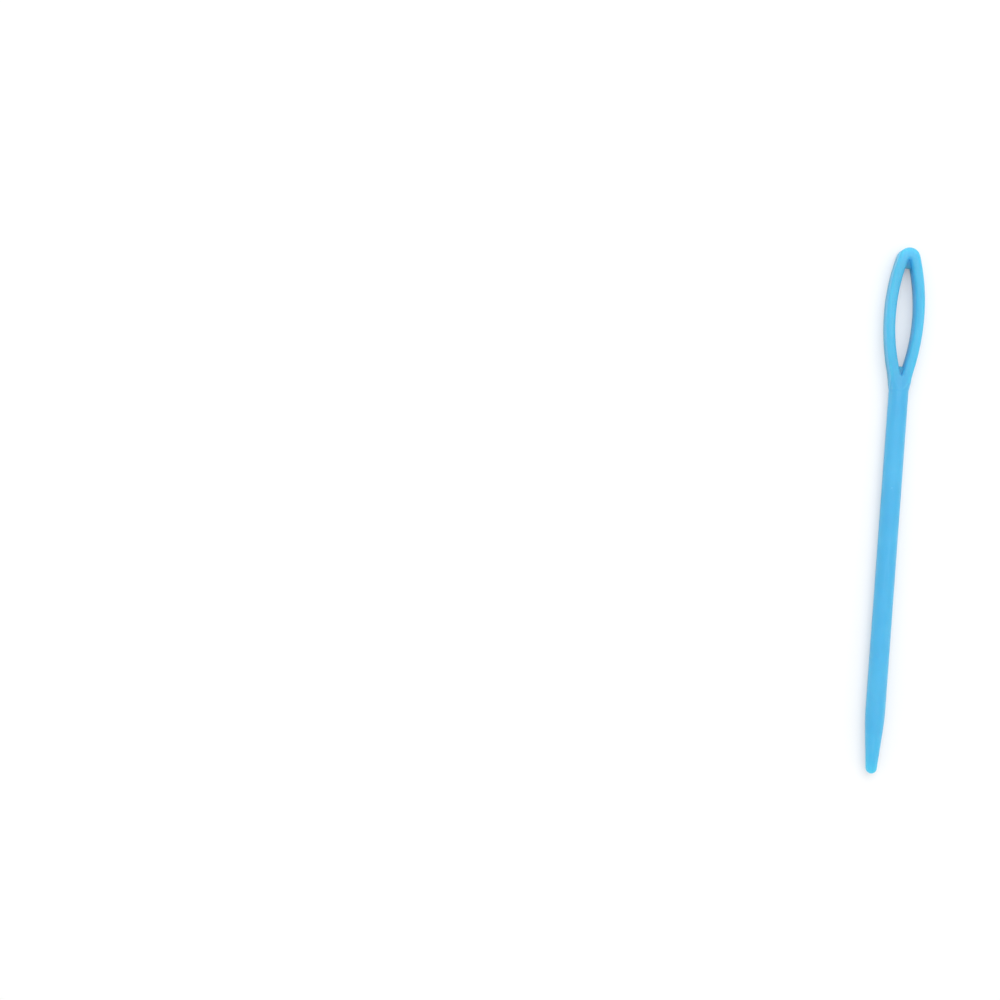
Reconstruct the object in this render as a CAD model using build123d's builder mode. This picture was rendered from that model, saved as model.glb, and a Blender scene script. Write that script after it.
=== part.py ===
from build123d import *
import os
from math import acos, atan2, cos, hypot, radians, sin, tan

# A large-eye yarn needle, moulded in one piece. It lies on its side with the eye's plane level.
# The eye end points along +Y. The origin is on the resting plane, under the middle of the length.

# Driving dimensions, in millimetres and degrees
overall_length = 95.0

shaft_diameter = 3.5
taper_length = 10.0
taper_blend_radius = 40.0
tip_radius = 1.0

eye_length = 25.75
eye_width = 6.8
eye_depth = 3.5
eye_end_radius = 1.95
eye_end_to_widest = 12.0
neck_radius = 15.0
neck_flare_angle = 15.0

hole_width = 3.5
eye_end_to_hole = 2.2
eye_end_to_hole_widest = 12.5
hole_to_neck = 2.85
hole_top_radius = 0.3
hole_bottom_radius = 0.15
web_reach = 1.75
web_back = 0.3
web_angle = 28.0
web_nose_radius = 0.2

outer_rim_radius = 0.65
hole_rim_radius = 0.6

# Radii and places that follow from them
shaft_radius = shaft_diameter / 2
eye_half_width = eye_width / 2
hole_half_width = hole_width / 2

eye_end_y = overall_length / 2
tip_y = -overall_length / 2
tip_center_y = tip_y + tip_radius
taper_y = tip_y + taper_length
neck_y = eye_end_y - eye_length
widest_y = eye_end_y - eye_end_to_widest
hole_top_y = eye_end_y - eye_end_to_hole
hole_widest_y = eye_end_y - eye_end_to_hole_widest
hole_bottom_y = neck_y + hole_to_neck

middle_z = max(shaft_diameter, eye_depth) / 2
eye_bottom_z = middle_z - eye_depth / 2


def radius_to_end(half_width, length, end_radius):
    """Radius of the arc from where an outline is widest to a round end on the middle line."""
    return (half_width**2 + length**2 - end_radius**2) / (2 * (half_width - end_radius))


def along(start, end, distance):
    """The point at a distance from start, on the line that runs from start through end."""
    length = hypot(end[0] - start[0], end[1] - start[1])
    share = distance / length
    return (start[0] + share * (end[0] - start[0]), start[1] + share * (end[1] - start[1]))


# The outer side of each limb is one arc from the eye's round end to the widest place, and a second one
# from there to the neck. Each radius follows from the arc being tangent to what it joins.
end_center = (0, eye_end_y - eye_end_radius)
upper_radius = radius_to_end(eye_half_width, end_center[1] - widest_y, eye_end_radius)
neck_to_widest = widest_y - neck_y
neck_center = (shaft_radius + neck_radius, neck_y)
neck_overlap = neck_center[0] - eye_half_width
lower_radius = (neck_overlap**2 + neck_to_widest**2 - neck_radius**2) / (
    2 * (eye_half_width - shaft_radius)
)
upper_center = (eye_half_width - upper_radius, widest_y)
lower_center = (eye_half_width - lower_radius, widest_y)

end_tangent = along(upper_center, end_center, upper_radius)
neck_tangent = along(lower_center, neck_center, lower_radius)
widest_point = (eye_half_width, widest_y)
neck_point = (shaft_radius, neck_y)

# Each side of the hole is two arcs in the same way, between the hole's two small round ends.
hole_top_center = (0, hole_top_y - hole_top_radius)
hole_bottom_center = (0, hole_bottom_y + hole_bottom_radius)
hole_upper_radius = radius_to_end(hole_half_width, hole_top_center[1] - hole_widest_y, hole_top_radius)
hole_lower_radius = radius_to_end(hole_half_width, hole_widest_y - hole_bottom_center[1], hole_bottom_radius)
hole_upper_center = (hole_half_width - hole_upper_radius, hole_widest_y)
hole_lower_center = (hole_half_width - hole_lower_radius, hole_widest_y)

hole_top_tangent = along(hole_upper_center, hole_top_center, hole_upper_radius)
hole_bottom_tangent = along(hole_lower_center, hole_bottom_center, hole_lower_radius)
hole_widest_point = (hole_half_width, hole_widest_y)

# Right half of the eye without its hole, with the outer edges rounded.
with BuildPart() as eye_half:
    with BuildSketch(Plane.XY.offset(eye_bottom_z)):
        with BuildLine():
            RadiusArc((0, eye_end_y), end_tangent, eye_end_radius)
            RadiusArc(end_tangent, widest_point, upper_radius)
            RadiusArc(widest_point, neck_tangent, lower_radius)
            RadiusArc(neck_tangent, neck_point, -neck_radius)
            Polyline(neck_point, (0, neck_y), (0, eye_end_y))
        make_face()
    extrude(amount=eye_depth)
    fillet(eye_half.faces().filter_by(Axis.Z).edges().filter_by(GeomType.CIRCLE), outer_rim_radius)

# A block with the leaf-shaped hole through it, and the hole's edges rounded.
with BuildPart() as round_hole:
    with BuildSketch(Plane.XY.offset(eye_bottom_z)):
        with Locations((0, neck_y + eye_length / 2)):
            Rectangle(2 * eye_width, eye_length)
        with BuildLine():
            RadiusArc((0, hole_bottom_y), hole_bottom_tangent, -hole_bottom_radius)
            RadiusArc(hole_bottom_tangent, hole_widest_point, -hole_lower_radius)
            RadiusArc(hole_widest_point, hole_top_tangent, -hole_upper_radius)
            RadiusArc(hole_top_tangent, (0, hole_top_y), -hole_top_radius)
            mirror(about=Plane.YZ)
        make_face(mode=Mode.SUBTRACT)
    extrude(amount=eye_depth)
    fillet(round_hole.faces().filter_by(Axis.Z).edges().filter_by(GeomType.CIRCLE), hole_rim_radius)

# A web joins the two limbs at each end of the hole. It slopes down from both faces to a rounded nose at
# mid-depth, and its back ends inside the plastic.
web_back_half_depth = (web_reach + web_back) * tan(radians(web_angle))
with BuildPart() as webs:
    with BuildSketch(Plane.YZ):
        for end_y, into_hole in ((hole_top_y, -1), (hole_bottom_y, 1)):
            back_y = end_y - into_hole * web_back
            back_low = (back_y, middle_z - web_back_half_depth)
            back_high = (back_y, middle_z + web_back_half_depth)
            nose = (end_y + into_hole * web_reach, middle_z)
            with BuildLine():
                FilletPolyline(back_low, nose, back_high, radius=web_nose_radius)
                Line(back_high, back_low)
            make_face()
    extrude(amount=eye_end_radius / 2, both=True)

# The taper's straight side is tangent to the round tip.
taper_span = taper_y - tip_center_y
tip_turn = atan2(shaft_radius, taper_span) + acos(tip_radius / hypot(shaft_radius, taper_span))
tip_tangent = (tip_radius * sin(tip_turn), tip_center_y + tip_radius * cos(tip_turn))

# The whole needle. The limbs are cut to a cone at the neck, so that they run into the round shaft. The cone
# is drawn on the far side of the right half, which keeps its seam off the limb.
needle_axis = Axis((0, 0, middle_z), (0, 1, 0))
flare_radius = shaft_radius + eye_length * tan(radians(neck_flare_angle))
with BuildPart() as needle:
    add(eye_half.part)
    add(round_hole.part, mode=Mode.INTERSECT)
    with BuildSketch(Plane.XY.offset(middle_z)):
        with BuildLine():
            Polyline(
                (0, neck_y), (-shaft_radius, neck_y), (-flare_radius, eye_end_y), (0, eye_end_y), close=True
            )
        make_face()
    revolve(axis=needle_axis, mode=Mode.INTERSECT)
    mirror(about=Plane.YZ)
    add(webs.part)
    with BuildSketch(Plane.XY.offset(middle_z)):
        with BuildLine():
            FilletPolyline(neck_point, (shaft_radius, taper_y), tip_tangent, radius=taper_blend_radius)
            RadiusArc(tip_tangent, (0, tip_y), tip_radius)
            Polyline((0, tip_y), (0, neck_y), neck_point)
        make_face()
    revolve(axis=needle_axis)
needle.part.label = "needle"

os.makedirs("parts", exist_ok=True)
export_step(needle.part, "parts/needle.step")
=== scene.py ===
import bpy
from math import acos, atan2, cos, hypot, pi, radians, sin, tan
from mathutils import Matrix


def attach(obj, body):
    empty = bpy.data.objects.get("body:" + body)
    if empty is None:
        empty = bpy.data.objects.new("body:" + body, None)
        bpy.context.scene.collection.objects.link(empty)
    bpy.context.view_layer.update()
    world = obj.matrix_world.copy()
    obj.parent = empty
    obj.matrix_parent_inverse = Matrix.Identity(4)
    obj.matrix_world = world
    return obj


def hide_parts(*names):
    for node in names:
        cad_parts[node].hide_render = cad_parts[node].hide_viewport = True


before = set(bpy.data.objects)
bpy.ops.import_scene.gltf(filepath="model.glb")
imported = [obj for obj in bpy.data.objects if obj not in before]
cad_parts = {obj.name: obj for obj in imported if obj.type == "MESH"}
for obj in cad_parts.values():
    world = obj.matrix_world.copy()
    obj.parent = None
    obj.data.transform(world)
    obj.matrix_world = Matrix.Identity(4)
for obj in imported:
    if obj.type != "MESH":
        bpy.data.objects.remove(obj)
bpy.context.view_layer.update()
bpy.ops.object.select_all(action="DESELECT")

# Needle: one injection moulding in light blue plastic, from a mould of two halves that meet at mid-depth. The
# eye is two bowed limbs round a leaf-shaped hole, and below the neck the shaft is round, with a blunt tapered
# tip. It is drawn in millimetres, at the height it lies at, and brought to metres at the end.
length = 95.0
shaft_radius = 1.75
taper_length = 10.0
taper_blend_radius = 40.0
tip_radius = 1.0
eye_length = 25.75
eye_depth = 3.5
eye_half_width = 3.4
eye_end_radius = 1.95
eye_end_to_widest = 12.0
neck_radius = 15.0
neck_flare = radians(15)
hole_half_width = 1.75
eye_end_to_hole = 2.2
eye_end_to_hole_widest = 12.5
hole_to_neck = 2.85
hole_top_radius = 0.3
hole_bottom_radius = 0.15
web_reach = 1.75
web_back = 0.3
web_slope = radians(28)
web_nose_radius = 0.2
outer_rim = 0.65
hole_rim = 0.6
parting_ridge_width = 0.12
parting_ridge_height = 0.012
ridge_end_to_tip = 0.6
crest_end_to_tip = 0.7
crest_end_below_neck = 0.1
crest_end_above_neck = 0.6
smooth_angle = radians(13)
metres_per_mm = 0.001

# How far what is cut away reaches past the neck, how near counts as the same place, and what is merged
overrun = 1.0
same_place = 0.001
near_neck = 0.01
facing_tip = -0.9
merge_distance = 0.002
trim_merge_distance = 0.005

# Steps along each curve
rim_steps = 10
nose_steps = 6
cone_sides = 96
shaft_steps = 8
blend_steps = 6
tip_steps = 12

middle = eye_depth / 2
eye_end = length / 2
tip = -length / 2
neck = eye_end - eye_length
widest = eye_end - eye_end_to_widest
hole_top = eye_end - eye_end_to_hole
hole_widest = eye_end - eye_end_to_hole_widest
hole_bottom = neck + hole_to_neck


def radius_to_end(half_width, reach, end_radius):
    """Radius of the arc from where an outline is widest to a round end on the middle line."""
    return (half_width**2 + reach**2 - end_radius**2) / (2 * (half_width - end_radius))


# The arcs of the limb's outer side, from the eye's end to the neck, and of the hole's side, between its two
# small round ends.
end_center = eye_end - eye_end_radius
upper_radius = radius_to_end(eye_half_width, end_center - widest, eye_end_radius)
upper_turn = atan2(end_center - widest, upper_radius - eye_half_width)
neck_center = shaft_radius + neck_radius
lower_radius = ((neck_center - eye_half_width) ** 2 + (widest - neck) ** 2 - neck_radius**2) / (
    2 * (eye_half_width - shaft_radius)
)
lower_turn = atan2(widest - neck, lower_radius - eye_half_width + neck_center)
hole_top_center = hole_top - hole_top_radius
hole_upper_radius = radius_to_end(hole_half_width, hole_top_center - hole_widest, hole_top_radius)
hole_upper_turn = atan2(hole_top_center - hole_widest, hole_upper_radius - hole_half_width)
hole_bottom_center = hole_bottom + hole_bottom_radius
hole_lower_radius = radius_to_end(hole_half_width, hole_widest - hole_bottom_center, hole_bottom_radius)
hole_lower_turn = atan2(hole_widest - hole_bottom_center, hole_lower_radius - hole_half_width)


def draw_line(across, along):
    """Draws the outline on from its last point, straight."""
    bpy.ops.mesh.extrude_region_move(TRANSFORM_OT_translate={"value": (across, along, 0)})


def draw_arc(across, along, turn, steps):
    """Draws the outline on from its last point, clockwise round this centre."""
    bpy.ops.mesh.spin(steps=steps, angle=turn, center=(across, along, middle), axis=(0, 0, 1))


# The right half of the eye's outline starts as one point at the hole's top. It runs up to the eye's end, down
# the limb's outer side, a little past the neck, and back up the hole's side.
bpy.ops.mesh.primitive_plane_add(size=1, location=(0, hole_top, middle))
needle = bpy.context.object
needle.name = "moulded_needle"
bpy.ops.object.transform_apply()
bpy.ops.object.mode_set(mode="EDIT")
bpy.ops.mesh.merge(type="CENTER")
draw_line(0, eye_end_to_hole)
draw_arc(0, end_center, pi / 2 - upper_turn, steps=16)
draw_arc(eye_half_width - upper_radius, widest, upper_turn, steps=24)
draw_arc(eye_half_width - lower_radius, widest, lower_turn, steps=24)
draw_arc(neck_center, neck, -lower_turn, steps=12)
draw_line(overrun, -overrun)
draw_line(-overrun - shaft_radius, 0)
draw_line(0, hole_to_neck + overrun)
draw_arc(0, hole_bottom_center, hole_lower_turn - pi / 2, steps=6)
draw_arc(hole_half_width - hole_lower_radius, hole_widest, -hole_lower_turn, steps=26)
draw_arc(hole_half_width - hole_upper_radius, hole_widest, -hole_upper_turn, steps=26)
draw_arc(0, hole_top_center, hole_upper_turn - pi / 2, steps=8)
bpy.ops.mesh.select_all(action="SELECT")
bpy.ops.mesh.remove_doubles(threshold=merge_distance)
bpy.ops.mesh.edge_face_add()
bpy.ops.object.mode_set(mode="OBJECT")

# The left half mirrors the right one, and the whole eye is drawn up to its depth.
left_half = needle.modifiers.new("left_half", "MIRROR")
left_half.merge_threshold = merge_distance
bpy.ops.object.modifier_apply(modifier="left_half")
bpy.ops.object.mode_set(mode="EDIT")
bpy.ops.mesh.select_all(action="SELECT")
bpy.ops.transform.translate(value=(0, 0, -middle))
bpy.ops.mesh.extrude_region_move(TRANSFORM_OT_translate={"value": (0, 0, eye_depth)})
bpy.ops.mesh.select_all(action="SELECT")
bpy.ops.mesh.normals_make_consistent()


def choose_edges(wanted):
    """Selects the edges of the mesh in hand whose two ends pass the test, and nothing else."""
    bpy.ops.mesh.select_mode(type="EDGE")
    bpy.ops.mesh.select_all(action="DESELECT")
    bpy.ops.object.mode_set(mode="OBJECT")
    mesh = bpy.context.object.data
    points = mesh.vertices
    for edge in mesh.edges:
        edge.select = wanted(*(points[i].co for i in edge.vertices))
    bpy.ops.object.mode_set(mode="EDIT")


def on_a_flat(a, b):
    """True for the outline and the hole's edge, above and below, but not for the line between the halves
    or the overrun's end."""
    level = abs(a.z - b.z) < same_place and abs(abs(a.z - middle) - middle) < same_place
    return level and abs(a.x) + abs(b.x) > same_place and max(a.y, b.y) > neck - overrun / 2


# The points of the hole's outline. The eye's own outline is wider than the hole all the way.
bpy.ops.object.mode_set(mode="OBJECT")
hole_points = {
    (point.co.x, point.co.y)
    for point in needle.data.vertices
    if abs(point.co.x) < hole_half_width + same_place
    and hole_bottom - same_place < point.co.y < hole_top + same_place
}
bpy.ops.object.mode_set(mode="EDIT")


def at_hole(point):
    """True for a point of the hole's outline."""
    return (point.x, point.y) in hole_points


# The mould's edges are rounded: the outline first, then the hole.
choose_edges(lambda a, b: on_a_flat(a, b) and not (at_hole(a) and at_hole(b)))
bpy.ops.mesh.bevel(offset=outer_rim, segments=rim_steps, clamp_overlap=False)
choose_edges(lambda a, b: on_a_flat(a, b) and at_hole(a) and at_hole(b))
bpy.ops.mesh.bevel(offset=hole_rim, segments=rim_steps, clamp_overlap=False)
bpy.ops.object.mode_set(mode="OBJECT")

# At each end of the hole a web joins the limbs. It slopes down from both faces to a rounded nose.
web_half_depth = (web_reach + web_back) * tan(web_slope)
nose_half_depth = web_nose_radius * tan((pi / 2 - web_slope) / 2)
web_length = web_reach + web_back - nose_half_depth / tan(web_slope)
for end, inward in ((hole_top, -1), (hole_bottom, 1)):
    bpy.ops.object.select_all(action="DESELECT")
    bpy.ops.mesh.primitive_cube_add(
        size=1,
        location=(0, end + inward * (web_length / 2 - web_back), middle),
        scale=(eye_end_radius, web_length, 2 * web_half_depth),
    )
    bpy.ops.object.transform_apply()
    web = bpy.context.object
    bpy.ops.object.mode_set(mode="EDIT")
    choose_edges(lambda a, b: min(inward * (a.y - end), inward * (b.y - end)) > 0)
    bpy.ops.transform.resize(value=(1, 1, nose_half_depth / web_half_depth))
    choose_edges(
        lambda a, b: min(inward * (a.y - end), inward * (b.y - end)) > 0 and abs(a.z - b.z) < same_place
    )
    bpy.ops.mesh.bevel(offset=nose_half_depth, segments=nose_steps, clamp_overlap=False)
    bpy.ops.mesh.select_all(action="SELECT")
    bpy.ops.mesh.remove_doubles(threshold=merge_distance)
    bpy.ops.mesh.normals_make_consistent()
    bpy.ops.object.mode_set(mode="OBJECT")
    bpy.ops.object.select_all(action="DESELECT")
    needle.select_set(True)
    bpy.context.view_layer.objects.active = needle
    web_join = needle.modifiers.new("web_join", "BOOLEAN")
    web_join.operation = "UNION"
    web_join.solver = "MANIFOLD"
    web_join.object = web
    bpy.ops.object.modifier_apply(modifier="web_join")
    bpy.data.objects.remove(web)

# A cone trims the eye at the neck, so that its square section runs down into the shaft's round one.
bpy.ops.object.select_all(action="DESELECT")
cone_length = eye_length + overrun
bpy.ops.mesh.primitive_cone_add(
    vertices=cone_sides,
    radius1=shaft_radius,
    radius2=shaft_radius + cone_length * tan(neck_flare),
    depth=cone_length,
    location=(0, neck + cone_length / 2, middle),
    rotation=(-pi / 2, 0, 0),
)
neck_cone = bpy.context.object
bpy.ops.object.select_all(action="DESELECT")
needle.select_set(True)
bpy.context.view_layer.objects.active = needle
neck_trim = needle.modifiers.new("neck_trim", "BOOLEAN")
neck_trim.operation = "INTERSECT"
neck_trim.solver = "MANIFOLD"
neck_trim.object = neck_cone
bpy.ops.object.modifier_apply(modifier="neck_trim")
bpy.data.objects.remove(neck_cone)

# The shaft is drawn out of the neck's round face, ring by ring, to the tip.
bpy.ops.object.mode_set(mode="EDIT")
bpy.ops.mesh.select_mode(type="VERT")
bpy.ops.mesh.select_all(action="SELECT")
bpy.ops.mesh.remove_doubles(threshold=trim_merge_distance)
bpy.ops.mesh.select_mode(type="FACE")
bpy.ops.mesh.select_all(action="DESELECT")
bpy.ops.object.mode_set(mode="OBJECT")
for face in needle.data.polygons:
    face.select = face.normal.y < facing_tip and abs(face.center.y - neck) < near_neck
bpy.ops.object.mode_set(mode="EDIT")

taper_span = taper_length - tip_radius
tip_turn = atan2(shaft_radius, taper_span) + acos(tip_radius / hypot(shaft_radius, taper_span))
taper_angle = tip_turn - pi / 2
blend_start = tip + taper_length + taper_blend_radius * tan(taper_angle / 2)
rings = [(neck + (blend_start - neck) * step / shaft_steps, shaft_radius) for step in range(shaft_steps + 1)]
for step in range(1, blend_steps + 1):
    turn = taper_angle * step / blend_steps
    ring_radius = shaft_radius - taper_blend_radius * (1 - cos(turn))
    rings.append((blend_start - taper_blend_radius * sin(turn), ring_radius))
for step in range(tip_steps):
    turn = tip_turn + (pi - tip_turn) * step / tip_steps
    rings.append((tip + tip_radius * (1 + cos(turn)), tip_radius * sin(turn)))
for (last_y, last_radius), (y, radius) in zip(rings, rings[1:]):
    bpy.ops.mesh.extrude_region_move(TRANSFORM_OT_translate={"value": (0, y - last_y, 0)})
    share = radius / last_radius
    bpy.ops.transform.resize(value=(share, 1, share), center_override=(0, y, middle))
bpy.ops.mesh.extrude_region_move(TRANSFORM_OT_translate={"value": (0, tip - rings[-1][0], 0)})
bpy.ops.mesh.merge(type="CENTER")
bpy.ops.mesh.select_all(action="SELECT")
bpy.ops.mesh.normals_make_consistent()

# The mould's halves leave a low parting ridge all round, outside and in the hole. It dies out before the tip,
# and at the neck, where the limb's flat side is too thin to carry it.
bpy.ops.mesh.bisect(plane_co=(0, 0, middle), plane_no=(0, 0, 1), threshold=merge_distance)
choose_edges(
    lambda a, b: max(abs(a.z - middle), abs(b.z - middle)) < merge_distance
    and max(a.y, b.y) > tip + ridge_end_to_tip
    and abs(min(a.y, b.y) - neck) > near_neck
)
bpy.ops.mesh.bevel(offset=parting_ridge_width / 2, segments=2, clamp_overlap=False)
bpy.ops.mesh.select_mode(type="VERT")
bpy.ops.mesh.select_all(action="DESELECT")
bpy.ops.object.mode_set(mode="OBJECT")
for point in needle.data.vertices:
    on_the_crest = abs(point.co.z - middle) < merge_distance and point.co.y > tip + crest_end_to_tip
    at_neck = neck - crest_end_below_neck < point.co.y < neck + crest_end_above_neck
    point.select = on_the_crest and not at_neck
bpy.ops.object.mode_set(mode="EDIT")
bpy.ops.transform.shrink_fatten(value=parting_ridge_height)
bpy.ops.mesh.select_all(action="SELECT")
bpy.ops.mesh.remove_doubles(threshold=merge_distance)
bpy.ops.transform.resize(value=(metres_per_mm, metres_per_mm, metres_per_mm), center_override=(0, 0, 0))
bpy.ops.object.mode_set(mode="OBJECT")
bpy.ops.object.shade_smooth_by_angle(angle=smooth_angle)
even_shade = needle.modifiers.new("even_shade", "WEIGHTED_NORMAL")
even_shade.keep_sharp = True
bpy.ops.object.modifier_apply(modifier="even_shade")

# Satin plastic, a little see-through at the edges. Its colour is faintly cloudy, with streaks along the
# length where it flowed into the mould, fine rub marks from handling and a few slightly paler specks.
plastic = bpy.data.materials.new("light_blue_plastic")
plastic.use_nodes = True
nodes, links = plastic.node_tree.nodes, plastic.node_tree.links
skin = nodes["Principled BSDF"]
skin.inputs["IOR"].default_value = 1.49
skin.inputs["Subsurface Weight"].default_value = 1.0
skin.inputs["Subsurface Radius"].default_value = (0.4, 1.6, 2.0)
skin.inputs["Subsurface Scale"].default_value = 0.004
place = nodes.new("ShaderNodeTexCoord")

clouds = nodes.new("ShaderNodeTexNoise")
clouds.inputs["Scale"].default_value = 110
clouds.inputs["Detail"].default_value = 3
links.new(place.outputs["Object"], clouds.inputs["Vector"])
cloud_colors = nodes.new("ShaderNodeValToRGB")
cloud_colors.color_ramp.elements[0].position = 0.3
cloud_colors.color_ramp.elements[0].color = (0.063, 0.37, 0.63, 1)
cloud_colors.color_ramp.elements[1].position = 0.7
cloud_colors.color_ramp.elements[1].color = (0.08, 0.41, 0.68, 1)
links.new(clouds.outputs["Fac"], cloud_colors.inputs["Fac"])

flow_place = nodes.new("ShaderNodeMapping")
flow_place.inputs["Scale"].default_value = (1500, 70, 1500)
links.new(place.outputs["Object"], flow_place.inputs["Vector"])
flow = nodes.new("ShaderNodeTexNoise")
flow.inputs["Scale"].default_value = 1
flow.inputs["Detail"].default_value = 2
links.new(flow_place.outputs["Vector"], flow.inputs["Vector"])
flow_strength = nodes.new("ShaderNodeMapRange")
flow_strength.inputs["From Min"].default_value = 0.55
flow_strength.inputs["From Max"].default_value = 0.8
flow_strength.inputs["To Max"].default_value = 0.35
links.new(flow.outputs["Fac"], flow_strength.inputs["Value"])
streaked = nodes.new("ShaderNodeMix")
streaked.data_type = "RGBA"
streaked.inputs["B"].default_value = (0.14, 0.47, 0.73, 1)
links.new(flow_strength.outputs["Result"], streaked.inputs["Factor"])
links.new(cloud_colors.outputs["Color"], streaked.inputs["A"])

speck_cells = nodes.new("ShaderNodeTexVoronoi")
speck_cells.inputs["Scale"].default_value = 420
links.new(place.outputs["Object"], speck_cells.inputs["Vector"])
speck_size = nodes.new("ShaderNodeMapRange")
speck_size.inputs["From Min"].default_value = 0.06
speck_size.inputs["From Max"].default_value = 0.03
links.new(speck_cells.outputs["Distance"], speck_size.inputs["Value"])
speck_pick = nodes.new("ShaderNodeSeparateColor")
links.new(speck_cells.outputs["Color"], speck_pick.inputs["Color"])
speck_few = nodes.new("ShaderNodeMath")
speck_few.operation = "GREATER_THAN"
speck_few.inputs[1].default_value = 0.8
links.new(speck_pick.outputs["Red"], speck_few.inputs[0])
specks = nodes.new("ShaderNodeMath")
specks.operation = "MULTIPLY"
links.new(speck_size.outputs["Result"], specks.inputs[0])
links.new(speck_few.outputs["Value"], specks.inputs[1])
specked = nodes.new("ShaderNodeMix")
specked.data_type = "RGBA"
specked.inputs["B"].default_value = (0.16, 0.5, 0.76, 1)
links.new(specks.outputs["Value"], specked.inputs["Factor"])
links.new(streaked.outputs["Result"], specked.inputs["A"])
links.new(specked.outputs["Result"], skin.inputs["Base Color"])

rub_place = nodes.new("ShaderNodeMapping")
rub_place.inputs["Scale"].default_value = (3800, 160, 3800)
rub_place.inputs["Rotation"].default_value = (0, 0, radians(6))
links.new(place.outputs["Object"], rub_place.inputs["Vector"])
rubs = nodes.new("ShaderNodeTexNoise")
rubs.inputs["Scale"].default_value = 1
rubs.inputs["Detail"].default_value = 4
links.new(rub_place.outputs["Vector"], rubs.inputs["Vector"])
gloss = nodes.new("ShaderNodeMapRange")
gloss.inputs["From Min"].default_value = 0.45
gloss.inputs["From Max"].default_value = 0.72
gloss.inputs["To Min"].default_value = 0.36
gloss.inputs["To Max"].default_value = 0.58
links.new(rubs.outputs["Fac"], gloss.inputs["Value"])
links.new(gloss.outputs["Result"], skin.inputs["Roughness"])

mould_skin = nodes.new("ShaderNodeTexNoise")
mould_skin.inputs["Scale"].default_value = 4200
mould_skin.inputs["Detail"].default_value = 2
links.new(place.outputs["Object"], mould_skin.inputs["Vector"])
surface_height = nodes.new("ShaderNodeMath")
surface_height.operation = "MULTIPLY_ADD"
surface_height.inputs[1].default_value = 0.6
links.new(flow.outputs["Fac"], surface_height.inputs[0])
links.new(mould_skin.outputs["Fac"], surface_height.inputs[2])
relief = nodes.new("ShaderNodeBump")
relief.inputs["Strength"].default_value = 0.35
relief.inputs["Distance"].default_value = 0.00002
links.new(surface_height.outputs["Value"], relief.inputs["Height"])
links.new(relief.outputs["Normal"], skin.inputs["Normal"])

needle.data.materials.clear()
needle.data.materials.append(plastic)
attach(needle, "root")
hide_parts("needle")

# Floor: the white sheet that the needle lies on. It is matt and plain.
bpy.ops.object.select_all(action="DESELECT")
bpy.ops.mesh.primitive_plane_add(size=6, location=(0, 0, 0))
floor = bpy.context.object
floor.name = "floor"
white_sheet = bpy.data.materials.new("white_sheet")
white_sheet.use_nodes = True
nodes, links = white_sheet.node_tree.nodes, white_sheet.node_tree.links
matt = nodes["Principled BSDF"]
matt.inputs["Base Color"].default_value = (0.95, 0.95, 0.95, 1)
matt.inputs["Roughness"].default_value = 0.9
glow = nodes.new("ShaderNodeEmission")
glow.inputs["Color"].default_value = (1, 1, 1, 1)
seen_by = nodes.new("ShaderNodeLightPath")
glow_share = nodes.new("ShaderNodeMath")
glow_share.operation = "MULTIPLY"
glow_share.inputs[1].default_value = 0.25
sheet_mix = nodes.new("ShaderNodeMixShader")
links.new(seen_by.outputs["Is Camera Ray"], glow_share.inputs[0])
links.new(glow_share.outputs["Value"], sheet_mix.inputs["Fac"])
links.new(matt.outputs["BSDF"], sheet_mix.inputs[1])
links.new(glow.outputs["Emission"], sheet_mix.inputs[2])
links.new(sheet_mix.outputs["Shader"], nodes["Material Output"].inputs["Surface"])
floor.data.materials.append(white_sheet)

# Light: white cloth all round, and one large soft lamp overhead, beyond the eye's end, turned to the needle.
surround = bpy.data.worlds.new("white_surround")
bpy.context.scene.world = surround
surround.use_nodes = True
surround.node_tree.nodes["Background"].inputs["Color"].default_value = (1, 1, 1, 1)
surround.node_tree.nodes["Background"].inputs["Strength"].default_value = 0.88
bpy.ops.object.light_add(type="AREA", location=(0.03, 0.3, 0.5), rotation=(radians(-31), 0, 0))
lamp = bpy.context.object
lamp.data.shape = "DISK"
lamp.data.size = 0.6
lamp.data.energy = 1.3

# Camera: straight down over the middle of the picture, as the photograph was taken. The needle lies to the
# right of it, with its eye end leaning a little to the right.
lean = radians(4.165)
to_right, to_top, height = -0.07034, 0.00196, 0.32
bpy.ops.object.camera_add(
    location=(
        to_right * cos(lean) - to_top * sin(lean),
        to_right * sin(lean) + to_top * cos(lean),
        height,
    ),
    rotation=(0, 0, lean),
)
camera = bpy.context.object
camera.data.sensor_width = 36
camera.data.lens = 63.5
bpy.context.scene.camera = camera
bpy.context.scene.view_settings.view_transform = "Standard"
